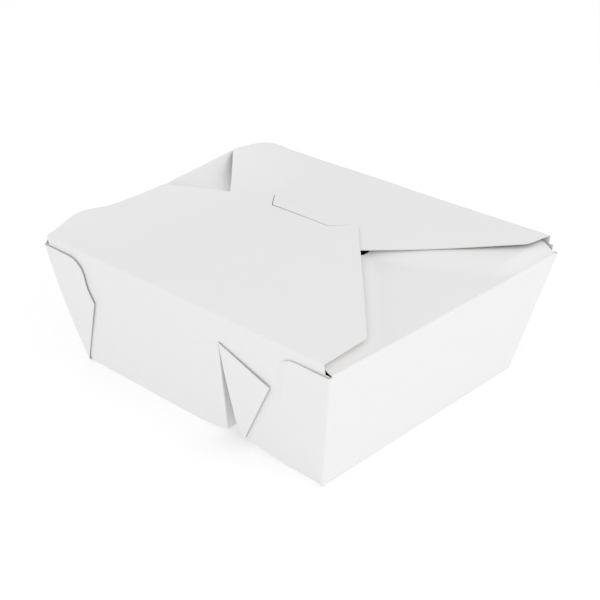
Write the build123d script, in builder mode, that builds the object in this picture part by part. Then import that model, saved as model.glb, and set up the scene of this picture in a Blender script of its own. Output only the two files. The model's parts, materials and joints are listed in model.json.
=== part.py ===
from build123d import *
import math
import os

# A takeout food box folded and glued from one sheet of paperboard, with a large and a small
# compartment and four lid flaps. Sizes are in mm. X runs along the box, Y across it from the
# front wall to the back wall, and Z is up. The origin is the middle of the base's underside.

# The sheet
board = 0.5             # thickness of the paperboard
web_layers = 2          # a glued web is the board folded on itself

# The tray, measured over the walls' outer faces
base_length = 172.0     # at the table
base_width = 151.0
rim_length = 200.0      # at the end walls' top folds
rim_width = 180.0
end_height = 70.0       # top fold of the end walls
side_height = 75.0      # top fold of the long walls
strip_length = 193.0    # long walls above the end walls' folds, with an open notch at each corner

# The divider, a narrow upside-down V folded up out of the base
divider_ridge_x = 29.4
divider_height = 60.0
left_foot_x = 22.6
left_foot_lift = 2.9    # how far the base curves up where the fold starts
right_foot_x = 35.7
right_foot_lift = 4.9
right_panel_bow = [(31.3, 26.0), (32.3, 11.0)]   # X and Z of the right panel's bow, above its foot
base_lift_run = 14.5    # length of base that curves up to each foot

# Glued webs, as X and height on a long wall
end_web_width = 20.5    # widest point of an end web, from the base corner
end_web_knee = 44.6     # height of that point
end_web_upright = 3.0   # how far the upper edge stands back from the widest point
end_web_neck = 53.4     # height where the upper edge turns upright
end_web_round = 8.0     # radius of the upper corner
divider_web_reach = 25.0    # from the foot to a divider web's outer corner
divider_web_corner = 47.3   # height of that corner

# The lid
lap_gap = 0.4           # clearance between flaps that lie on each other
fold_inset = 1.0        # end flaps clear the long walls by this much
spring_start_x = -52.0  # left of here the lid springs up
spring_edge_inset = 2.0 # the full rise is reached this far from the box's left end
spring_front = 6.5      # rise of the lid's left edge, near the front and near the back
spring_back = 12.0
spring_front_run = 20.0     # distance from a long wall's fold at which the rise is reached
spring_back_run = 44.0

front_flap_side_left = 80.0     # length of the straight sides, from the fold
front_flap_side_right = 31.0
front_flap_side_taper = 2.0     # the right side's lean from the fold to its shoulder
front_flap_length = 125.0       # from the fold to the tip
front_flap_tip_left = -52.0     # X of the tip's two ends
front_flap_tip_right = 10.0

back_flap_side_left = 46.0
back_flap_side_right = 17.0
back_flap_side_taper = 5.5
back_flap_length = 103.0
back_flap_tip_left = -44.0
back_flap_tip_right = 8.0

tongue_length = 12.5    # die-cut in the back flap, holds the front flap's tip
tongue_taper = 10.5     # how far each side slants in towards the tongue's end
tongue_ramp = 4.0       # length over which the tongue climbs on to the front flap
slit = 0.4              # width of the cut round the tongue

end_flap_length = 68.0
end_flap_tip_width = 76.0
end_flap_shoulder = 12.0    # straight length beside the fold
spring_crown = 7.0          # the left end flap reaches its full rise this far from its fold
hollow_edge = 5.0           # the right end flap's sides turn up this far from its fold
hollow_root_rise = 0.3      # rise of the turned-up sides at the fold itself
hollow_front = 54.0         # the flat between the turned-up sides, at the fold
hollow_back = 47.0
hollow_apex = 14.5          # Y where the flat ends in a point, at the flap's far end
hollow_ramp = 9.0           # width of each turned-up side

# Worked-out places
side_lean = math.atan2((rim_width - base_width) / 2, end_height)
slant = 1 / math.cos(side_lean)
end_run = (rim_length - base_length) / 2 / end_height
side_run = (rim_width - base_width) / 2 / end_height
fold_y = rim_width / 2 + side_run * (side_height - end_height)
lap = board + lap_gap
back_flap_z = side_height - board
front_flap_z = back_flap_z + lap
end_flap_high_z = back_flap_z - lap
end_flap_low_z = end_height - board
hinge_y = -fold_y + board / 2
hinge_z = front_flap_z + board / 2
spring_edge_x = -rim_length / 2 + spring_edge_inset
flap_headroom = 20.0    # taller than any flap's curve
tip_y = front_flap_length + hinge_y


def rectangle_at(height, inset=0.0):
    """Plan of the leaning walls at one height, drawn in by an inset."""
    length = base_length + 2 * end_run * height - 2 * inset
    width = base_width + 2 * side_run * height - 2 * inset
    with BuildSketch(Plane.XY.offset(height)) as plan:
        Rectangle(length, width)
    return plan.sketch


def bent_strip(points):
    """Section of a bent strip one board thick, from the Y and Z of its lower face."""
    return points + [(y, z + board) for y, z in reversed(points)]


def sprung_points(level, share):
    """Lower face of the sprung lid at a share of its full rise, from the front fold to the back."""
    front_crest = -fold_y + spring_front_run
    back_crest = fold_y - spring_back_run
    return [
        (-fold_y, level),
        (front_crest, level + spring_front * share),
        ((front_crest + back_crest) / 2, level + (spring_front + spring_back) / 2 * share),
        (back_crest, level + spring_back * share),
        (fold_y, level),
    ]


def sprung_section(x, level, share):
    """The sprung lid's section at x, as a sketch whose long edges are smooth curves."""
    lower = sprung_points(level, share)
    upper = [(y, z + board) for y, z in lower]
    with BuildSketch(Plane.YZ.offset(x)) as section:
        with BuildLine():
            Spline(*lower)
            Line(lower[-1], upper[-1])
            Spline(*upper)
            Line(upper[0], lower[0])
        make_face()
    return section.sketch


def level_section(x, level):
    """A level strip's section at x, from the front fold to the back."""
    with BuildSketch(Plane.YZ.offset(x)) as section:
        Polygon(*bent_strip([(-fold_y, level), (fold_y, level)]), align=None)
    return section.sketch


# The outer form of the four leaning walls
with BuildPart() as envelope:
    add(rectangle_at(0))
    add(rectangle_at(side_height))
    loft()

# The underside of the base, with the divider's fold
fold_line = [
    (-base_length, 0),
    (left_foot_x - base_lift_run, 0),
    (left_foot_x, left_foot_lift),
    (divider_ridge_x, divider_height - board),
    *right_panel_bow,
    (right_foot_x, right_foot_lift),
    (right_foot_x + base_lift_run, 0),
    (base_length, 0),
]

with BuildPart() as base:
    with BuildSketch(Plane.XZ):
        with BuildLine():
            Polyline(*fold_line)
            offset(amount=board, side=Side.LEFT)
        make_face()
    extrude(amount=rim_width, both=True)
    add(envelope.part, mode=Mode.INTERSECT)

# What lies under the fold is open to the front and the back
with BuildPart() as under_fold:
    with BuildSketch(Plane.XZ):
        Polygon(*fold_line[1:-1], align=None)
    extrude(amount=rim_width, both=True)

with BuildPart() as walls:
    add(envelope.part)
    add(rectangle_at(0, board))
    add(rectangle_at(side_height, board))
    loft(mode=Mode.SUBTRACT)
    with BuildSketch(Plane.XY.offset(end_height)):
        Rectangle(rim_length * 2, rim_width * 2)
        Rectangle(strip_length, rim_width * 2, mode=Mode.SUBTRACT)
    extrude(amount=side_height, mode=Mode.SUBTRACT)
    add(under_fold.part, mode=Mode.SUBTRACT)

# The webs are drawn on the front wall's outer face and mirrored on to the back wall
front_face = Plane(
    origin=(0, -base_width / 2, 0),
    x_dir=(1, 0, 0),
    z_dir=(0, -math.cos(side_lean), -math.sin(side_lean)),
)
web_thickness = web_layers * board
end_web_edge = base_length / 2 - end_web_width
foot_to_ridge = [(divider_ridge_x, divider_height), *right_panel_bow, (right_foot_x, right_foot_lift)]
end_web = [
    (base_length / 2, 0),
    (end_web_edge, end_web_knee),
    (end_web_edge + end_web_upright, end_web_neck),
    (end_web_edge + end_web_upright, end_height),
    (rim_length / 2, end_height),
]
outer_divider_web = foot_to_ridge + [(right_foot_x + divider_web_reach, divider_web_corner)]
inner_divider_web = [
    (divider_ridge_x, divider_height),
    (left_foot_x, left_foot_lift),
    (left_foot_x - divider_web_reach, divider_web_corner),
]


def on_wall(outline):
    """Turns heights into lengths up the leaning wall."""
    return [(x, height * slant) for x, height in outline]


with BuildPart() as webs:
    with BuildSketch(front_face):
        with BuildSketch(mode=Mode.PRIVATE) as rounded_web:
            Polygon(*on_wall(end_web), align=None)
            upper_corner = rounded_web.vertices().sort_by(Axis.Y)[-2:].sort_by(Axis.X)[0]
            fillet(upper_corner, end_web_round)
        add(rounded_web.sketch)
        mirror(rounded_web.sketch, about=Plane.YZ)
        Polygon(*on_wall(outer_divider_web), align=None)
    extrude(amount=web_thickness)
    with BuildSketch(front_face.offset(-board - web_thickness)):
        Polygon(*on_wall(inner_divider_web), align=None)
    extrude(amount=web_thickness)
    split(bisect_by=Plane.XY)
    mirror(about=Plane.XZ)

# The tongue's outline, from its root towards the front. The front flap is cut back round it by the slit
tongue_outline = [
    (front_flap_tip_left, tip_y),
    (front_flap_tip_left + tongue_taper, tip_y - tongue_length),
    (front_flap_tip_right - tongue_taper, tip_y - tongue_length),
    (front_flap_tip_right, tip_y),
]

with BuildPart() as back_flap:
    add(sprung_section(spring_edge_x, back_flap_z, 1))
    add(level_section(spring_start_x, back_flap_z))
    loft(ruled=True)
    extrude(level_section(spring_start_x, back_flap_z), amount=rim_length, dir=(1, 0, 0))
    with BuildSketch(Plane.XY.offset(end_height)):
        Polygon(
            (strip_length / 2, fold_y),
            (-strip_length / 2, fold_y),
            (-strip_length / 2, fold_y - back_flap_side_left),
            (back_flap_tip_left, fold_y - back_flap_length),
            (back_flap_tip_right, fold_y - back_flap_length),
            (strip_length / 2 - back_flap_side_taper, fold_y - back_flap_side_right),
            align=None,
        )
        Polygon(*tongue_outline, align=None, mode=Mode.SUBTRACT)
    extrude(amount=flap_headroom, mode=Mode.INTERSECT)

# The tongue starts inside the back flap's thickness and climbs on to the front flap
root_y = tip_y + tongue_ramp
tongue_core = board / 4
with BuildPart() as tongue:
    with BuildSketch(Plane.YZ.offset(front_flap_tip_left)):
        Polygon(
            (root_y, back_flap_z + tongue_core),
            (tip_y, back_flap_z + tongue_core),
            (tip_y - tongue_ramp, front_flap_z),
            (tip_y - tongue_length, front_flap_z),
            (tip_y - tongue_length, front_flap_z + board),
            (tip_y - tongue_ramp, front_flap_z + board),
            (tip_y, back_flap_z + board - tongue_core),
            (root_y, back_flap_z + board - tongue_core),
            align=None,
        )
    extrude(amount=front_flap_tip_right - front_flap_tip_left)
    with BuildSketch(Plane.XY.offset(end_height)):
        Polygon(
            (front_flap_tip_left, root_y),
            *tongue_outline,
            (front_flap_tip_right, root_y),
            align=None,
        )
    extrude(amount=flap_headroom, mode=Mode.INTERSECT)


def end_flap_outline(side):
    """Plan of an end flap; side is 1 on the right and -1 on the left."""
    root = rim_length / 2
    half_root = rim_width / 2 - board * slant - fold_inset
    half_tip = end_flap_tip_width / 2
    corners = [
        (root, half_root),
        (root - end_flap_shoulder, half_root),
        (root - end_flap_length, half_tip),
        (root - end_flap_length, -half_tip),
        (root - end_flap_shoulder, -half_root),
        (root, -half_root),
    ]
    return [(side * x, y) for x, y in corners]


# The left end flap springs up under the front and back flaps
crown_x = -rim_length / 2 + spring_crown
crown_share = (spring_start_x - crown_x) / (spring_start_x - spring_edge_x)
with BuildPart() as left_end_flap:
    add(level_section(-rim_length / 2, end_flap_low_z))
    add(sprung_section(crown_x, end_flap_high_z, crown_share))
    loft(ruled=True)
    add(sprung_section(crown_x, end_flap_high_z, crown_share))
    add(level_section(spring_start_x, end_flap_high_z))
    loft(ruled=True)
    extrude(level_section(spring_start_x, end_flap_high_z), amount=end_flap_length, dir=(1, 0, 0))
    with BuildSketch(Plane.XY.offset(end_flap_low_z)):
        Polygon(*end_flap_outline(-1), align=None)
    extrude(amount=flap_headroom, mode=Mode.INTERSECT)


def hollow_section(x, front, back, high):
    """The right end flap's section at x: a flat between two sides that turn up."""
    lower = [
        (-fold_y, high),
        (front - hollow_ramp, high),
        (front, end_flap_low_z),
        (back, end_flap_low_z),
        (back + hollow_ramp, high),
        (fold_y, high),
    ]
    with BuildSketch(Plane.YZ.offset(x)) as section:
        Polygon(*bent_strip(lower), align=None)
    return section.sketch


# The right end flap lies level in the middle, and its sides turn up under the other flaps
right_root = rim_length / 2
apex_x = right_root - end_flap_length
with BuildPart() as right_end_flap:
    add(hollow_section(right_root, -hollow_front, hollow_back, end_flap_low_z + hollow_root_rise))
    add(hollow_section(right_root - hollow_edge, -hollow_front, hollow_back, end_flap_high_z))
    loft(ruled=True)
    add(hollow_section(right_root - hollow_edge, -hollow_front, hollow_back, end_flap_high_z))
    add(hollow_section(apex_x, hollow_apex - board, hollow_apex + board, end_flap_high_z))
    loft(ruled=True)
    with BuildSketch(Plane.XY.offset(end_flap_low_z)):
        Polygon(*end_flap_outline(1), align=None)
    extrude(amount=flap_headroom, mode=Mode.INTERSECT)

with BuildPart() as tray:
    add(walls.part)
    add(base.part)
    add(webs.part)
tray.part.label = "tray"


def folded_to_tray(label, *pieces):
    """A lid flap that starts at the tray's top edge. Its sliver outside the leaning wall is left off."""
    with BuildPart() as flap:
        for piece in pieces:
            add(piece.part)
        add(tray.part, mode=Mode.SUBTRACT)
    inside_walls = flap.solids().sort_by(SortBy.VOLUME)[-1]
    inside_walls.label = label
    return inside_walls


# The front flap turns about its fold, so its root edge is round about the fold's axis
with BuildPart() as front_flap:
    add(sprung_section(spring_edge_x, front_flap_z, 1))
    add(level_section(spring_start_x, front_flap_z))
    loft(ruled=True)
    extrude(level_section(spring_start_x, front_flap_z), amount=rim_length, dir=(1, 0, 0))
    with BuildSketch(Plane.XY.offset(end_height)):
        Polygon(
            (-strip_length / 2, hinge_y),
            (strip_length / 2, hinge_y),
            (strip_length / 2 - front_flap_side_taper, hinge_y + front_flap_side_right),
            (front_flap_tip_right, tip_y),
            (front_flap_tip_left, tip_y),
            (-strip_length / 2, hinge_y + front_flap_side_left),
            align=None,
        )
        with BuildSketch(mode=Mode.PRIVATE) as notch:
            Polygon(*tongue_outline, align=None)
            offset(amount=slit, kind=Kind.INTERSECTION)
        add(notch.sketch, mode=Mode.SUBTRACT)
    extrude(amount=flap_headroom, mode=Mode.INTERSECT)
    with BuildSketch(Plane.YZ.offset(-strip_length / 2)):
        with Locations((hinge_y, hinge_z)):
            Circle(board / 2)
    extrude(amount=strip_length)
front_flap.part.label = "front_flap"

nodes = [
    tray.part,
    folded_to_tray("back_flap", back_flap, tongue),
    folded_to_tray("left_end_flap", left_end_flap),
    folded_to_tray("right_end_flap", right_end_flap),
    front_flap.part,
]
os.makedirs("parts", exist_ok=True)
for node in nodes:
    export_step(node, f"parts/{node.label}.step")
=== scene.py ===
# Takeout food box folded from one sheet of white paperboard: a leaning tray with a pleated divider,
# glued webs and four lid flaps. Lengths in the settings are in mm, and angles in degrees.
import bmesh
import bpy
import json
import math
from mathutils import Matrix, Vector, noise


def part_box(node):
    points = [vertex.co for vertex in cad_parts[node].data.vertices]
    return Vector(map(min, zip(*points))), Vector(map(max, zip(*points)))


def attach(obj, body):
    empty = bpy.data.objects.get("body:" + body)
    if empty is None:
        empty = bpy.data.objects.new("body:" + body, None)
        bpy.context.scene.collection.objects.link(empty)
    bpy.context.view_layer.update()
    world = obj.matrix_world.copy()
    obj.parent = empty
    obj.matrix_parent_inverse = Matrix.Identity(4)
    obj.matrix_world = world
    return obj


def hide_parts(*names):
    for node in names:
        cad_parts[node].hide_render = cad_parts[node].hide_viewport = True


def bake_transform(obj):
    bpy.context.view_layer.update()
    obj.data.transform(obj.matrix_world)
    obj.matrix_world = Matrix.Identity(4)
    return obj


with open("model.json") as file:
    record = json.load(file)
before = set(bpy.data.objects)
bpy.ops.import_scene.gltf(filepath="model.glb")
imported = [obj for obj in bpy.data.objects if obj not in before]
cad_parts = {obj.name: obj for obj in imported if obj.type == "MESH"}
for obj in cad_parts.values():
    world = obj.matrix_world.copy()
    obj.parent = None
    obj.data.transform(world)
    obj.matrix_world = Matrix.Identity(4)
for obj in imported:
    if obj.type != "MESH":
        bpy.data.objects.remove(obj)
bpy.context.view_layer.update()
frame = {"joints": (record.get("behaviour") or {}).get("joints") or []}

mm = 0.001
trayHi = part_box("tray")[1] / mm
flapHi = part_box("front_flap")[1] / mm
hinge = Vector(frame["joints"][0]["pos_m"]) / mm

# relax is how far a panel strays from flat, over lengths of relaxSize
board = {"thick": 0.5, "bend": 0.8, "pitch": 3, "relax": 0.3, "relaxSize": 55, "settled": 20, "wearReach": 2}
halfBoard = board["thick"] / 2


# finishes

def linear(hexColour):
    # sRGB hex to linear RGBA
    shares = [int(hexColour[k:k + 2], 16) / 255 for k in (0, 2, 4)]
    return [c / 12.92 if c <= 0.04045 else ((c + 0.055) / 1.055) ** 2.4 for c in shares] + [1]


def addNode(tree, kind, links=None, **settings):
    # settings are node properties or inputs, links join other nodes' outputs to inputs
    node = tree.nodes.new(kind)
    for key, value in settings.items():
        if hasattr(node, key):
            setattr(node, key, value)
        else:
            node.inputs[key.replace("_", " ")].default_value = value
    for socket, source in (links or {}).items():
        tree.links.new(source, node.inputs[socket])
    return node


boardFinish = {
    "mottleSize": 9, "fibreSize": 0.9, "fibreLength": 4, "wrinkleSize": 0.7,   # real fibres are 0.02 wide
    "ior": 1.5, "sheen": 0.06, "bump": 0.6, "glossSpread": 0.05, "glossFrom": 0.3, "glossTo": 0.7,
}


def paperboard(name, light, shade, roughness, relief):
    # light and shade are the mottle's two colours, relief is the height of the fibre in mm
    finish = bpy.data.materials.new(name)
    finish.use_nodes = True
    tree = finish.node_tree
    tree.nodes.clear()
    spot = addNode(tree, "ShaderNodeTexCoord")
    mottle = addNode(tree, "ShaderNodeTexNoise", {"Vector": spot.outputs["Object"]},
                     Scale=1 / (boardFinish["mottleSize"] * mm), Detail=3, Roughness=0.6)
    lay = addNode(tree, "ShaderNodeMapping", {"Vector": spot.outputs["Object"]},
                  Scale=(1 / boardFinish["fibreLength"], 1, 1))   # fibres lie along the box
    fibre = addNode(tree, "ShaderNodeTexNoise", {"Vector": lay.outputs["Vector"]},
                    Scale=1 / (boardFinish["fibreSize"] * mm), Detail=4, Roughness=0.65)
    wear = addNode(tree, "ShaderNodeAttribute", attribute_name="foldWear")
    wrinkle = addNode(tree, "ShaderNodeTexNoise", {"Vector": spot.outputs["Object"]},
                      Scale=1 / (boardFinish["wrinkleSize"] * mm), Detail=2)
    crack = addNode(tree, "ShaderNodeMath", {0: wear.outputs["Fac"], 1: wrinkle.outputs["Fac"]},
                    operation="MULTIPLY")
    height = addNode(tree, "ShaderNodeMath", {0: crack.outputs[0], 1: fibre.outputs["Fac"]},
                     operation="ADD")
    bump = addNode(tree, "ShaderNodeBump", {"Height": height.outputs[0]},
                   Strength=boardFinish["bump"], Distance=relief * mm)
    tone = addNode(tree, "ShaderNodeMix", {"Factor": mottle.outputs["Fac"]}, data_type="RGBA")
    tone.inputs["A"].default_value = linear(shade)
    tone.inputs["B"].default_value = linear(light)
    gloss = addNode(tree, "ShaderNodeMapRange", {"Value": mottle.outputs["Fac"]},
                    From_Min=boardFinish["glossFrom"], From_Max=boardFinish["glossTo"],
                    To_Min=roughness - boardFinish["glossSpread"],
                    To_Max=roughness + boardFinish["glossSpread"])
    skin = addNode(tree, "ShaderNodeBsdfPrincipled",
                   {"Base Color": tone.outputs["Result"], "Roughness": gloss.outputs["Result"],
                    "Normal": bump.outputs["Normal"]},
                   IOR=boardFinish["ior"], Sheen_Weight=boardFinish["sheen"])
    addNode(tree, "ShaderNodeOutputMaterial", {"Surface": skin.outputs["BSDF"]})
    return finish


# Clay-coated bleached board: an even bright white with a satin face that hides most of the fibre
coatedFace = paperboard("clayCoatedBoard", "E9E8E8", "E6E5E5", 0.48, 0.02)
# Its uncoated back with a thin grease-proof lining: slightly warmer, with more of the fibre showing
linedFace = paperboard("greaseproofBoardBack", "E4E3E0", "DFDEDA", 0.42, 0.035)
# The die-cut edge: raw fibre, matt and a little darker
cutEdge = paperboard("dieCutBoardEdge", "E2E0DB", "D6D3CC", 0.85, 0.06)


# sheets

def aroundFold(travel, corner, inDir, outDir, radius):
    # the point of a folded sheet that lies travel past the fold when the sheet is flat
    turn = inDir.angle(outDir)
    reach = radius * math.tan(turn / 2)
    if abs(travel) >= reach:
        return corner + (inDir if travel < 0 else outDir) * travel
    angle = turn * (travel + reach) / (2 * reach)
    across = (outDir - inDir * math.cos(turn)).normalized()
    return corner + inDir * (radius * math.sin(angle) - reach) + across * radius * (1 - math.cos(angle))


def roundedPath(corners, radii, closed=False, turnStep=12):
    # straight runs joined by arcs; a closed path has a radius for every corner
    ends = [] if closed else [corners[0]]
    count = len(corners)
    turns = range(count) if closed else range(1, count - 1)
    path = list(ends)
    for k, radius in zip(turns, radii):
        before, corner, after = corners[k - 1], corners[k], corners[(k + 1) % count]
        inDir = (corner - before).normalized()
        outDir = (after - corner).normalized()
        turn = inDir.angle(outDir)
        if radius == 0:
            path.append(corner)
            continue
        reach = radius * math.tan(turn / 2)
        steps = max(2, math.ceil(math.degrees(turn) / turnStep))
        for j in range(steps + 1):
            path.append(aroundFold(reach * (2 * j / steps - 1), corner, inDir, outDir, radius))
    return path if closed else path + [corners[-1]]


def filled(path, pitch):
    # adds points so that none are further apart than pitch
    points = [path[0]]
    for start, end in zip(path, path[1:]):
        steps = max(1, math.ceil((end - start).length / pitch))
        points += [start.lerp(end, k / steps) for k in range(1, steps + 1)]
    return points


def stations(start, end, pitch, folds=(), reach=1.3, fine=0.26):
    # even places from start to end, closer together beside each fold
    steps = max(1, round((end - start) / pitch))
    places = [start + (end - start) * k / steps for k in range(steps + 1)]
    for fold in folds:
        places = [p for p in places if abs(p - fold) > reach + fine]
        places += [fold + fine * k for k in range(-round(reach / fine), round(reach / fine) + 1)]
    return sorted(set(p for p in places if start <= p <= end) | {start, end})


def smoothThrough(points):
    # a smooth curve through (place, value) points, level past both ends
    slopes = [0] + [(c[1] - a[1]) / (c[0] - a[0]) for a, c in zip(points, points[2:])] + [0]

    def valueAt(place):
        if place <= points[0][0]:
            return points[0][1]
        for (x0, y0), (x1, y1), m0, m1 in zip(points, points[1:], slopes, slopes[1:]):
            if place <= x1:
                run = x1 - x0
                t = (place - x0) / run
                rise = (2 * t ** 3 - 3 * t ** 2 + 1) * y0 + (3 * t ** 2 - 2 * t ** 3) * y1
                return rise + run * ((t ** 3 - 2 * t ** 2 + t) * m0 + (t ** 3 - t ** 2) * m1)
        return points[-1][1]
    return valueAt


def smoothStep(share):
    share = min(1, max(0, share))
    return share * share * (3 - 2 * share)


def inside(point, outline):
    # even-odd test
    hits = 0
    for a, b in zip(outline, outline[1:] + outline[:1]):
        if (a.y > point.y) != (b.y > point.y):
            hits += point.x < a.x + (point.y - a.y) * (b.x - a.x) / (b.y - a.y)
    return hits % 2 == 1


def gridMesh(rows):
    # quads between rows of points that are all as long as each other
    mesh = bmesh.new()
    laid = [[mesh.verts.new(point) for point in row] for row in rows]
    for low, high in zip(laid, laid[1:]):
        for k in range(len(low) - 1):
            mesh.faces.new((low[k], low[k + 1], high[k + 1], high[k]))
    return mesh


def cutByPlane(mesh, point, normal):
    geometry = mesh.verts[:] + mesh.edges[:] + mesh.faces[:]
    bmesh.ops.bisect_plane(mesh, geom=geometry, dist=1e-5, plane_co=point, plane_no=normal)


def dieCut(across, along, outline, holes=()):
    # a flat blank: a grid trimmed to its outline, less its holes
    mesh = gridMesh([[Vector((s, t, 0)) for s in across] for t in along])
    for loop in [outline, *holes]:
        for a, b in zip(loop, loop[1:] + loop[:1]):
            cutByPlane(mesh, a.to_3d(), (b.y - a.y, a.x - b.x, 0))
    scrap = []
    for face in mesh.faces:
        middle = face.calc_center_median()
        if not inside(middle, outline) or any(inside(middle, hole) for hole in holes):
            scrap.append(face)
    bmesh.ops.delete(mesh, geom=scrap, context="FACES")
    return mesh


def fold(blank, place, wearAt=None):
    # moves each point of the flat blank to its place on the box
    worn = blank.verts.layers.float.new("foldWear")
    for vert in blank.verts:
        s, t = vert.co.x, vert.co.y
        vert.co = place(s, t)
        vert[worn] = wearAt(s, t) if wearAt else 0
    return blank


def relaxed(point):
    # paper is never quite flat; the base stays on the table, and the back relaxes as the front does
    front = Vector((point.x, -abs(point.y), point.z))
    stray = noise.noise_vector(front / board["relaxSize"]) * board["relax"]
    offMiddle = smoothStep(abs(point.y) / board["settled"])
    stray.y *= -offMiddle if point.y > 0 else offMiddle
    return point + stray * smoothStep(point.z / board["settled"])


def makePiece(name, sheets):
    # joins sheets that follow the middle of the board, gives them their thickness and turns them outwards
    whole = bmesh.new()
    for sheet in sheets:
        loose = bpy.data.meshes.new("loose")
        sheet.to_mesh(loose)
        sheet.free()
        whole.from_mesh(loose)
        bpy.data.meshes.remove(loose)
    bmesh.ops.remove_doubles(whole, verts=whole.verts[:], dist=0.01)
    for vert in whole.verts:
        vert.co = relaxed(vert.co) * mm
    whole.normal_update()
    heart = Vector((0, 0, trayHi.z / 2 * mm))
    facing = sum(f.calc_area() * f.normal.dot(f.calc_center_median() - heart) for f in whole.faces)
    if facing < 0:
        bmesh.ops.reverse_faces(whole, faces=whole.faces[:])
    data = bpy.data.meshes.new(name)
    whole.to_mesh(data)
    whole.free()
    piece = bpy.data.objects.new(name, data)
    bpy.context.scene.collection.objects.link(piece)
    for finish in (coatedFace, linedFace, cutEdge):
        data.materials.append(finish)
    ply = piece.modifiers.new("ply", "SOLIDIFY")
    ply.thickness = board["thick"] * mm
    ply.offset = 0
    ply.material_offset = 1
    ply.material_offset_rim = 2
    setMesh(piece)
    print(name, len(piece.data.polygons), "faces")
    return piece


def setMesh(piece):
    # turns the modifiers' result into the piece's own mesh
    bpy.context.view_layer.update()
    solid = bpy.data.meshes.new_from_object(piece.evaluated_get(bpy.context.evaluated_depsgraph_get()))
    piece.modifiers.clear()
    piece.data = solid
    solid.name = piece.name
    solid.polygons.foreach_set("use_smooth", [True] * len(solid.polygons))
    solid.set_sharp_from_angle(angle=math.radians(40))


# the tray's planes, from its outer faces

form = {
    "baseLength": 172, "baseWidth": 152.6, "rimWidth": 180, "endHeight": 70, "seamHeight": 73.2,
    "baseLip": 1.6,
}
sideRun = (form["rimWidth"] - form["baseWidth"]) / 2 / form["endHeight"]
endRun = (trayHi.x - form["baseLength"] / 2) / form["endHeight"]
lean = math.atan(sideRun)


def longWall(x, height, lift, side):
    # lift is off the wall's outer face; side is -1 for the front wall and 1 for the back wall
    y = form["baseWidth"] / 2 + sideRun * height + lift * math.cos(lean)
    return Vector((x, side * y, height - lift * math.sin(lean)))


def cornerX(height):
    return form["baseLength"] / 2 + endRun * height


# tray: front wall, base with the divider's pleat, back wall

divider = {
    "ridgeX": 29.4, "ridgeHeight": 60, "ridgeHalf": 0.65, "ridgeRound": 0.55,
    "leftFoot": (22.6, 2.9), "leftRun": 2, "rightFoot": (35.7, 4.4), "rightRun": 63,
    "rightBow": [(31.3, 26), (32.3, 11)], "footRound": 1.6, "runRound": 90, "bowRound": 12,
}
trayCuts = {"wallRows": 16, "baseRows": 18, "cornerGap": 0.8, "steepShare": 0.15,
            "pressLeft": (0.8, 48.7), "pressDepth": 0.35, "pressWidth": 0.8, "pressFade": 14,
            "pressRows": (0, 0.35, 0.7, 1.05, 2.5, 5, 8), "pressIn": 8, "pressOut": 3, "onWall": 0.3}


def dividerProfile():
    # the middle of the board, from the left end of the base to the right end
    end = form["baseLength"] / 2 - form["baseLip"]
    d = divider
    marks = [(-end, 0, 0), (d["leftRun"], 0, d["runRound"]), (*d["leftFoot"], d["footRound"]),
             (d["ridgeX"] - d["ridgeHalf"], d["ridgeHeight"], d["ridgeRound"]),
             (d["ridgeX"] + d["ridgeHalf"], d["ridgeHeight"], d["ridgeRound"]),
             (*d["rightBow"][0], d["bowRound"]), (*d["rightBow"][1], d["bowRound"] / 2),
             (*d["rightFoot"], d["footRound"]), (d["rightRun"], 0, d["runRound"]), (end, 0, 0)]
    corners = []
    for x, z, _ in marks:
        outward = 0 if z < 1 else (-halfBoard if x < d["ridgeX"] else halfBoard)
        level = -halfBoard if z == d["ridgeHeight"] else halfBoard
        corners.append(Vector((x + outward, 0, z + level)))
    return filled(roundedPath(corners, [radius for _, _, radius in marks[1:-1]]), board["pitch"])


def makeTray():
    profile = dividerProfile()
    travelled = [0]
    for a, b in zip(profile, profile[1:]):
        travelled.append(travelled[-1] + abs(b.x - a.x) + trayCuts["steepShare"] * abs(b.z - a.z))
    ridge = min(range(len(profile)), key=lambda k: abs(profile[k].x - divider["ridgeX"]) - profile[k].z)
    topEnd = cornerX(form["seamHeight"]) - trayCuts["cornerGap"]
    columns = []
    for k, foot in enumerate(profile):
        if k <= ridge:
            topX = -topEnd + (divider["ridgeX"] + topEnd) * travelled[k] / travelled[ridge]
        else:
            share = (travelled[k] - travelled[ridge]) / (travelled[-1] - travelled[ridge])
            topX = divider["ridgeX"] + (topEnd - divider["ridgeX"]) * share
        top = longWall(topX, form["seamHeight"] - halfBoard * math.sin(lean), -halfBoard, -1)
        low = longWall(foot.x, foot.z - halfBoard * math.sin(lean), -halfBoard, -1)
        turned = roundedPath([top, low, foot], [board["bend"]])
        rows = trayCuts["wallRows"]
        half = [top.lerp(turned[1], j / rows) for j in range(rows)] + turned[1:-1]
        rows = trayCuts["baseRows"]
        half += [turned[-2].lerp(foot, j / rows) for j in range(1, rows + 1)]
        columns.append(half + [Vector((p.x, -p.y, p.z)) for p in reversed(half[:-1])])
    steps = min(len(column) for column in columns)
    assert all(len(column) == steps for column in columns)
    mesh = gridMesh(columns)
    for side in (-1, 1):
        cutByPlane(mesh, (side * flapHi.x, 0, 0), (1, 0, 0))
    cutByPlane(mesh, (0, 0, form["endHeight"]), (0, 0, 1))
    notch = [f for f in mesh.faces if f.calc_center_median().z > form["endHeight"]
             and abs(f.calc_center_median().x) > flapHi.x]
    bmesh.ops.delete(mesh, geom=notch, context="FACES")
    pressWebEdge(mesh)
    return markFolds(mesh)


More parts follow.
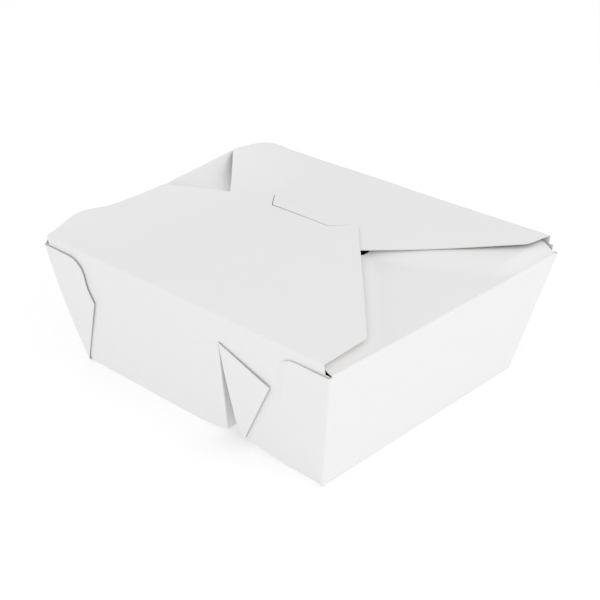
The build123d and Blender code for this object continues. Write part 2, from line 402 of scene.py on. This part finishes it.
def pressWebEdge(mesh):
    # the inner web's cut edge shows through the long walls as a faint step
    left = Vector((trayCuts["pressLeft"][0], trayCuts["pressLeft"][1]))
    right = Vector((divider["ridgeX"], divider["ridgeHeight"]))
    along = (right - left).normalized()
    down = Vector((along.y, -along.x))
    for step in trayCuts["pressRows"]:
        start = left + down * step
        for side in (-1, 1):
            normal = Vector((0, side * math.cos(lean), -math.sin(lean)))
            line = Vector((along.x, along.y * side * math.sin(lean), along.y * math.cos(lean)))
            cutByPlane(mesh, longWall(start.x, start.y, 0, side), normal.cross(line))
    for vert in mesh.verts:
        side = 1 if vert.co.y > 0 else -1
        onWall = abs(vert.co.y - longWall(0, vert.co.z, -halfBoard, side).y) < trayCuts["onWall"]
        if not onWall:
            continue
        offset = Vector((vert.co.x, vert.co.z)) - left
        below, ahead = offset.dot(down), offset.dot(along)
        run = (right - left).length
        if below <= 0 or not 0 < ahead < run:
            continue
        push = trayCuts["pressDepth"] * smoothStep(below / trayCuts["pressWidth"])
        push *= math.exp(-below / trayCuts["pressFade"]) * smoothStep(ahead / trayCuts["pressIn"])
        push *= smoothStep((run - ahead) / trayCuts["pressOut"])
        vert.co += Vector((0, side * math.cos(lean), -math.sin(lean))) * push


def markFolds(mesh):
    # wear along the bottom folds and the ridge
    worn = mesh.verts.layers.float.new("foldWear")
    for vert in mesh.verts:
        toWall = abs(abs(vert.co.y) - form["baseWidth"] / 2 - sideRun * vert.co.z)
        toRidge = (vert.co - Vector((divider["ridgeX"], vert.co.y, divider["ridgeHeight"]))).length
        low = 1 - smoothStep((toWall + vert.co.z) / board["wearReach"])
        vert[worn] = max(low, 1 - smoothStep(toRidge / board["wearReach"]))
    return mesh


tray = makePiece("tray", [makeTray()])
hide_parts("tray")

# lid: how far its left side springs up

lid = {
    "springStart": -52, "springPower": 1.9,
    "edgeRise": [(-91, 0), (-82, 2.6), (-72, 6.2), (-62, 6.2), (-51, 4.7), (-42, 4.5), (-17, 5.5), (2, 8.2),
                 (16, 9.6), (35, 12.2), (45, 13.2), (55, 12.2), (68, 10), (77, 7.2), (86, 3), (91, 0)],
    "backFoldHigher": 2.8, "backSlopeStart": 25,
    "layerGap": 0.9, "mostShare": 1.05,
}
edgeRise = smoothThrough(lid["edgeRise"])
frontZ = hinge.z
backLowZ = frontZ - lid["layerGap"]   # under the front flap
backZ = backLowZ + lid["backFoldHigher"]
endHighZ = backLowZ - lid["layerGap"]
endLowZ = form["endHeight"] - halfBoard
wallUp = [Vector((0, side * math.sin(lean), math.cos(lean))) for side in (-1, 1)]


def lidRise(x, y):
    share = (lid["springStart"] - x) / (lid["springStart"] + flapHi.x)
    return edgeRise(y) * min(lid["mostShare"], max(0, share)) ** lid["springPower"]


def lidCorner(x, level, side):
    # where the wall's middle plane meets the flap's
    return longWall(x, level - halfBoard * math.sin(lean), -halfBoard, side)


def flapPoint(x, travel, level, side):
    # travel runs from the fold towards the middle of the box
    corner = lidCorner(x, level, side)
    point = aroundFold(travel, corner, wallUp[side > 0], Vector((0, -side, 0)), board["bend"])
    return point + Vector((0, 0, lidRise(x, point.y) if travel > 0 else 0))


def foldWear(travel):
    return 1 - smoothStep(abs(travel) / board["wearReach"])


def flat(points):
    return [Vector(point) for point in points]


# front flap and its fold, which bends across the hinge

frontFlapSize = {
    "sideLeft": 80, "sideRight": 31, "sideTaper": 2, "tipLeft": -52, "tipRight": 10, "cornerRound": 3.5,
    "tongueRound": 0.6,
    "foldStart": 2, "bendStart": 1, "bendEnd": 1.3,
}
tongueSize = {"length": 12.5, "taper": 10.5, "gap": 0.5, "closedGap": 0.06, "rise": 1.2, "closedRise": 0.9,
              "ramp": 5, "slit": 0.3}
frontCreaseY = lidCorner(0, frontZ, -1).y
backCreaseY = lidCorner(0, backZ, 1).y
tipY = flapHi.y + 0.3


def tongueOutline(grow, growRight):
    # from its root on the right, round its free end, to its root on the left
    size, t = frontFlapSize, tongueSize
    return flat([(size["tipRight"] + growRight, tipY),
                 (size["tipRight"] - t["taper"] + growRight, tipY - t["length"] - grow),
                 (size["tipLeft"] + t["taper"] - grow * 0.5, tipY - t["length"] - grow),
                 (size["tipLeft"] - grow, tipY)])


def frontOutline():
    size = frontFlapSize
    half = flapHi.x
    notch = tongueOutline(tongueSize["gap"], tongueSize["closedGap"])
    corners = flat([(-half, frontCreaseY + size["foldStart"]), (half, frontCreaseY + size["foldStart"]),
                    (half - size["sideTaper"], frontCreaseY + size["sideRight"])]) + notch
    corners += flat([(-half, frontCreaseY + size["sideLeft"])])
    radii = [0, 0, size["cornerRound"], 0, size["tongueRound"], size["tongueRound"], 0, size["cornerRound"]]
    return roundedPath(corners, radii, closed=True, turnStep=20)


flapColumns = stations(-flapHi.x, flapHi.x, board["pitch"])
frontBlank = dieCut(flapColumns, stations(frontCreaseY + frontFlapSize["foldStart"], tipY, board["pitch"]),
                    frontOutline())
frontFlap = makePiece("frontFlap", [fold(frontBlank, lambda x, y: flapPoint(x, y - frontCreaseY, frontZ, -1),
                                         lambda x, y: foldWear(y - frontCreaseY))])
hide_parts("front_flap")

seamTravel = (form["seamHeight"] - frontZ) / math.cos(lean)
foldRows = stations(seamTravel, frontFlapSize["foldStart"], 0.26)
frontFoldMesh = gridMesh([[flapPoint(x, travel, frontZ, -1) for x in flapColumns] for travel in foldRows])
wornLayer = frontFoldMesh.verts.layers.float.new("foldWear")
for vert in frontFoldMesh.verts:
    vert[wornLayer] = 1
frontFold = makePiece("frontFold", [frontFoldMesh])

# back flap with its tongue, which lies in the front flap's notch

backFlapSize = {
    "sideLeft": 46, "sideRight": 17, "sideTaper": 5.5, "length": 103, "tipLeft": -44, "tipRight": 8,
    "cornerRound": 3, "shoulderRound": 9, "tipRound": 4, "foldRound": 1, "foldStraight": 0.5,
    "shortRight": 2.7,
}


def backOutline():
    size = backFlapSize
    half = flapHi.x
    low = (form["seamHeight"] - backZ) / math.cos(lean)
    right = half - size["shortRight"]
    corners = flat([(-half, low), (right, low), (right, size["foldStraight"]),
                    (half - size["sideTaper"], size["sideRight"]),
                    (size["tipRight"], size["length"]), (size["tipLeft"], size["length"]),
                    (-half, size["sideLeft"])])
    radii = [0, 0, size["foldRound"], size["shoulderRound"], size["tipRound"], size["tipRound"],
             size["cornerRound"]]
    return roundedPath(corners, radii, closed=True, turnStep=20)


def slitLoop():
    # a narrow band round the tongue's three free sides, in the back flap's own places
    outer = tongueOutline(tongueSize["slit"], tongueSize["slit"])
    inner = tongueOutline(0, 0)
    return [Vector((p.x, backCreaseY - p.y)) for p in outer + inner[::-1]]


tongueEdge = tongueOutline(tongueSize["slit"] / 2, tongueSize["slit"] / 2)


def backFlapPoint(x, travel):
    point = flapPoint(x, travel, backZ, 1)
    toFold = smoothStep((point.y - lid["backSlopeStart"]) / (backCreaseY - lid["backSlopeStart"]))
    point.z -= lid["backFoldHigher"] * (1 - toFold) if travel > 0 else 0
    if inside(Vector((x, backCreaseY - travel)), tongueEdge):
        tipLeft = frontFlapSize["tipLeft"]
        toRight = smoothStep((x - tipLeft) / (frontFlapSize["tipRight"] - tipLeft))
        rise = tongueSize["rise"] + (tongueSize["closedRise"] - tongueSize["rise"]) * toRight
        point.z += rise * smoothStep((tipY - point.y) / tongueSize["ramp"])
    return point


backRows = stations((form["seamHeight"] - backZ) / math.cos(lean), backFlapSize["length"], board["pitch"],
                    [0])
backBlank = dieCut(flapColumns, backRows, backOutline(), [slitLoop()])
backFlap = makePiece("backFlap", [fold(backBlank, backFlapPoint, lambda x, t: foldWear(t))])
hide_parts("back_flap")

# ends: end wall, outer webs that wrap on to the long walls, and end flap

endSize = {
    "kneeX": 66.5, "kneeHeight": 44.3, "neckX": 69.5, "neckHeight": 53, "webTop": 69.6, "webRound": 7,
    "webLift": 0.7, "webSpringAt": 30, "bowFade": 9, "cornerBend": 0.9,
    "flapInset": 2.3, "flapLength": 68, "flapTipHalf": 38, "flapShoulder": 12, "flapRound": 5,
    "rimBend": 0.9, "rimBendBelow": 1.5, "webReach": 34, "cornerShare": 0.5, "bowFullness": 0.7,
    # closer rows just past the rim fold, where the left flap curves most
    "crownRows": (2.1, 2.4, 2.7, 3, 3.4, 3.8, 4.3, 5.3, 6.4, 7.6, 8.8, 10),
}
hollow = {"apex": (40, 14.6), "front": (99, -53), "back": (99, 47), "frontRise": 3.6, "frontRun": 7.5,
          "backRise": 4.6, "backRun": 7, "steepen": 1.6, "edge": 10}
spring = {"crown": 3, "fall": 4}   # fall makes it sink away from the flaps above it


def hollowHeight(x, y):
    # the right end flap is level in the middle and turns up under the other flaps
    apex = Vector(hollow["apex"])
    high = 0
    for part, side in (("front", -1), ("back", 1)):
        valley = (Vector(hollow[part]) - apex).normalized()
        beyond = (Vector((x, y)) - apex).dot(Vector((-valley.y, valley.x))) * side / hollow[part + "Run"]
        high = max(high, hollow[part + "Rise"] * (1 - math.exp(-max(0, beyond) ** hollow["steepen"])))
    return endLowZ + high * smoothStep((trayHi.x - x) / hollow["edge"])


def sprungHeight(x, y):
    # the left end flap climbs steeply from its fold and lies under the sprung lid
    share = min(1, max(0, (lid["springStart"] - x) / (lid["springStart"] + flapHi.x)))
    high = endHighZ + lidRise(x, y) * share ** spring["fall"]
    share = min(1, max(0, (x + trayHi.x) / spring["crown"]))
    return endLowZ + (high - endLowZ) * (1 - (1 - share) ** 2)


def endOutline():
    # half across the end, then mirrored; s is across at rim scale, t is up the wall and along the flap
    rim = form["rimWidth"] / 2
    size = endSize
    top = form["endHeight"]

    def past(x, height):
        return rim + cornerX(height) - x
    half = flat([(rim - 3.6, -form["baseLip"]), (rim - 2, 0), (rim - 1.7, 0.3), (rim + 0.2, 0.45),
                 (past(size["kneeX"], size["kneeHeight"]), size["kneeHeight"]),
                 (past(size["neckX"], size["neckHeight"]), size["neckHeight"]),
                 (past(size["neckX"] + 0.4, size["webTop"]), size["webTop"]), (rim, size["webTop"]),
                 (rim - size["flapInset"], top + 0.6),
                 (rim - size["flapInset"], top + size["flapShoulder"]),
                 (size["flapTipHalf"], top + size["flapLength"])])
    radii = [0, 0, 0, 0, 1.5, 3, size["webRound"], 0, 0.5, 6, size["flapRound"]]
    corners = half + [Vector((-p.x, p.y)) for p in reversed(half)]
    return roundedPath(corners, radii + radii[::-1], closed=True, turnStep=20)


def endPoint(end, heightAt, webSpring, bow):
    # end is 1 for the right end and -1 for the left
    rim = form["rimWidth"] / 2
    lift = endSize["webLift"]

    def bowed(point, past):
        # a wall that bulges outwards between its folds
        share = min(1, max(0, point.z / form["endHeight"]))
        bulge = math.sin(math.pi * share) ** endSize["bowFullness"]
        point.x += end * bow * bulge * math.exp(-max(0, past) / endSize["bowFade"])
        return point

    def place(s, t):
        side = 1 if s > 0 else -1
        share = min(abs(s), rim) / rim
        past = abs(s) - rim
        height = min(t, form["endHeight"])
        corner = longWall(end * (cornerX(height) - halfBoard), height, lift, side)
        if past < -endSize["flapInset"] + endSize["cornerShare"]:
            y = corner.y * share
            if t < form["baseLip"]:
                base = Vector((end * (cornerX(0) - halfBoard), y, halfBoard))
                up = Vector((end * endRun, 0, 1)).normalized()
                return aroundFold(t, base, Vector((end, 0, 0)), up, board["bend"])
            crease = Vector((end * (trayHi.x - halfBoard), y, endLowZ))
            up = Vector((end * endRun, 0, 1)).normalized()
            travel = (t - form["endHeight"]) / (up.z if t < form["endHeight"] else 1)
            point = aroundFold(travel, crease, up, Vector((-end, 0, 0)), endSize["rimBend"])
            if travel < -endSize["rimBendBelow"]:
                point.y = corner.y * share
            if travel > 0:
                point.z += heightAt(point.x, point.y) - endLowZ
                return point
            return bowed(point, past)
        spread = past if past > 0 else (share - 1) * abs(corner.y)
        free = webSpring * smoothStep(past / endSize["webSpringAt"])
        point = aroundFold(spread, corner, Vector((0, side, 0)), Vector((-end, 0, 0)), endSize["cornerBend"])
        return bowed(point + Vector((0, side * free, 0)), past)
    return place


def makeEnd(name, end, heightAt, webSpring, bow):
    rim = form["rimWidth"] / 2
    reach = rim + endSize["webReach"]
    across = stations(-reach, reach, board["pitch"], [-rim, rim], reach=1.6)
    along = stations(-form["baseLip"], form["endHeight"] + endSize["flapLength"], board["pitch"],
                     [0, form["endHeight"]], reach=1.8)
    along = sorted(set(along) | {form["endHeight"] + step for step in endSize["crownRows"]})
    blank = dieCut(across, along, endOutline())

    def wear(s, t):
        creases = max(foldWear(t), foldWear(t - form["endHeight"]))
        return max(creases, foldWear(abs(s) - rim) if t < form["endHeight"] else 0)
    return makePiece(name, [fold(blank, endPoint(end, heightAt, webSpring, bow), wear)])


rightEnd = makeEnd("rightEnd", 1, hollowHeight, -0.3, 0)
leftEnd = makeEnd("leftEnd", -1, sprungHeight, 0.3, 2)
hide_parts("right_end_flap")
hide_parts("left_end_flap")

# divider webs, on the outside of the right part of each long wall

kite = {"corner": (60.7, 47.3), "lift": 0.7, "lip": 4, "lipBend": 0.7, "clear": 0.35, "spring": 0.3,
        "springAt": 25,
    "reach": 32, "rows": (3, 61), "pitch": 2.5,
        "edge": [(0, 37.5), (4.9, 35.4), (11, 32.2), (26, 30.9), (42, 30), (60, 29.7)]}
kiteEdge = smoothThrough(kite["edge"])


def kitePoint(side):
    def place(e, height):
        corner = longWall(kiteEdge(height) - kite["clear"], height, kite["lift"], side)
        point = aroundFold(e, corner, Vector((0, side * math.cos(lean), -math.sin(lean))), Vector((1, 0, 0)),
                           kite["lipBend"])
        free = kite["spring"] * smoothStep(e / kite["springAt"])
        return point + Vector((0, side * free, 0))
    return place


def kiteOutline():
    # e is right of the web's folded edge, and the web's cut edges are straight on the wall
    cornerAt = Vector(kite["corner"])
    top = Vector((kiteEdge(60), divider["ridgeHeight"]))
    foot = Vector((kiteEdge(divider["rightFoot"][1]), divider["rightFoot"][1]))
    upper = [top.lerp(cornerAt, k / 6) for k in range(7)]
    lower = [cornerAt.lerp(foot, k / 8) for k in range(1, 9)]
    loop = [Vector((p.x - kiteEdge(p.y) + kite["clear"], p.y)) for p in upper + lower]
    lip = flat([(-kite["lip"], foot.y + 1), (-kite["lip"], top.y - 3)])
    return loop + lip


def makeKite():
    across = stations(-kite["lip"], kite["reach"], kite["pitch"], [0], reach=1.2)
    along = stations(*kite["rows"], kite["pitch"])
    sheet = fold(dieCut(across, along, kiteOutline()), kitePoint(-1), lambda e, h: foldWear(e))
    return makePiece("dividerWebs", [sheet])


def bothLongWalls():
    # repeats the front wall's web on the back wall, mirrored across the box
    tree = bpy.data.node_groups.new("bothLongWalls", "GeometryNodeTree")
    tree.interface.new_socket("Web", in_out="INPUT", socket_type="NodeSocketGeometry")
    tree.interface.new_socket("Mirror", in_out="INPUT", socket_type="NodeSocketVector")
    tree.interface.new_socket("Outer Face", in_out="INPUT", socket_type="NodeSocketMaterial")
    tree.interface.new_socket("Webs", in_out="OUTPUT", socket_type="NodeSocketGeometry")
    given = addNode(tree, "NodeGroupInput")
    front = addNode(tree, "GeometryNodeGeometryToInstance", {"Geometry": given.outputs["Web"]})
    turned = addNode(tree, "GeometryNodeFlipFaces", {"Mesh": given.outputs["Web"]})
    across = addNode(tree, "GeometryNodeTransform",
                     {"Geometry": turned.outputs["Mesh"], "Scale": given.outputs["Mirror"]})
    back = addNode(tree, "GeometryNodeGeometryToInstance", {"Geometry": across.outputs["Geometry"]})
    pair = addNode(tree, "GeometryNodeJoinGeometry", {"Geometry": front.outputs["Instances"]})
    tree.links.new(back.outputs["Instances"], pair.inputs["Geometry"])
    whole = addNode(tree, "GeometryNodeRealizeInstances", {"Geometry": pair.outputs["Geometry"]})
    outer = addNode(tree, "GeometryNodeMaterialSelection", {"Material": given.outputs["Outer Face"]})
    coated = addNode(tree, "GeometryNodeSetMaterial",
                     {"Geometry": whole.outputs["Geometry"], "Selection": outer.outputs["Selection"],
                      "Material": given.outputs["Outer Face"]})
    addNode(tree, "NodeGroupOutput", {"Webs": coated.outputs["Geometry"]})
    return tree


dividerWebs = makeKite()
repeat = dividerWebs.modifiers.new("repeat", "NODES")
repeat.node_group = bothLongWalls()
sockets = {item.name: item.identifier for item in repeat.node_group.interface.items_tree}
repeat[sockets["Mirror"]] = (1.0, -1.0, 1.0)
repeat[sockets["Outer Face"]] = coatedFace
setMesh(dividerWebs)
print("divider webs,", len(dividerWebs.data.polygons), "faces")

# riding on the CAD bodies

for piece in (tray, backFlap, rightEnd, leftEnd, dividerWebs):
    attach(piece, "box")
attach(frontFlap, "front_flap")
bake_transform(frontFold)

# studio

studio = {
    "floorSize": 6000, "floorColour": "CFCFCF", "floorGlow": 0.42, "skyStrength": 0.87,
    "cameraFrom": (385.2, -425.0, 329.9), "cameraAim": (-0.1, -0.1, 39.3), "cameraRoll": 0.99, "lens": 72,
    "panels": {"sidePanel": ((1700, 450, 800), 1400, 5.2), "frontPanel": ((600, -1100, 1050), 900, 3)},
}


def makeFloor():
    half = studio["floorSize"] / 2
    mesh = gridMesh([[Vector((x, y, 0)) * mm for x in (-half, half)] for y in (-half, half)])
    data = bpy.data.meshes.new("studioFloor")
    mesh.to_mesh(data)
    mesh.free()
    floor = bpy.data.objects.new("studioFloor", data)
    bpy.context.scene.collection.objects.link(floor)
    paint = bpy.data.materials.new("lightTableTop")   # opal acrylic lit from below, so shadows stay faint
    paint.use_nodes = True
    skin = paint.node_tree.nodes["Principled BSDF"]
    skin.inputs["Base Color"].default_value = linear(studio["floorColour"])
    skin.inputs["Roughness"].default_value = 0.9
    skin.inputs["Specular IOR Level"].default_value = 0.1
    skin.inputs["Emission Color"].default_value = (1, 1, 1, 1)
    skin.inputs["Emission Strength"].default_value = studio["floorGlow"]
    data.materials.append(paint)


def lookAt(thing, spot, aim):
    thing.location = Vector(spot) * mm
    thing.rotation_euler = (Vector(aim) - Vector(spot)).to_track_quat("-Z", "Y").to_euler()


def makeStudio():
    makeFloor()
    world = bpy.data.worlds.new("softbox")
    bpy.context.scene.world = world
    world.use_nodes = True
    sky = world.node_tree.nodes["Background"]
    sky.inputs["Color"].default_value = (1, 1, 1, 1)
    sky.inputs["Strength"].default_value = studio["skyStrength"]
    for name, (spot, size, power) in studio["panels"].items():
        light = bpy.data.lights.new(name, "AREA")
        light.shape = "DISK"
        light.size = size * mm
        light.energy = power
        panel = bpy.data.objects.new(name, light)
        bpy.context.scene.collection.objects.link(panel)
        lookAt(panel, spot, studio["cameraAim"])
    lens = bpy.data.cameras.new("studioCamera")
    lens.lens = studio["lens"]
    lens.sensor_width = 36
    lens.clip_start = 0.01
    camera = bpy.data.objects.new("studioCamera", lens)
    bpy.context.scene.collection.objects.link(camera)
    lookAt(camera, studio["cameraFrom"], studio["cameraAim"])
    camera.rotation_euler.rotate_axis("Z", math.radians(studio["cameraRoll"]))
    bpy.context.scene.camera = camera
    bpy.context.scene.view_settings.view_transform = "Standard"


makeStudio()
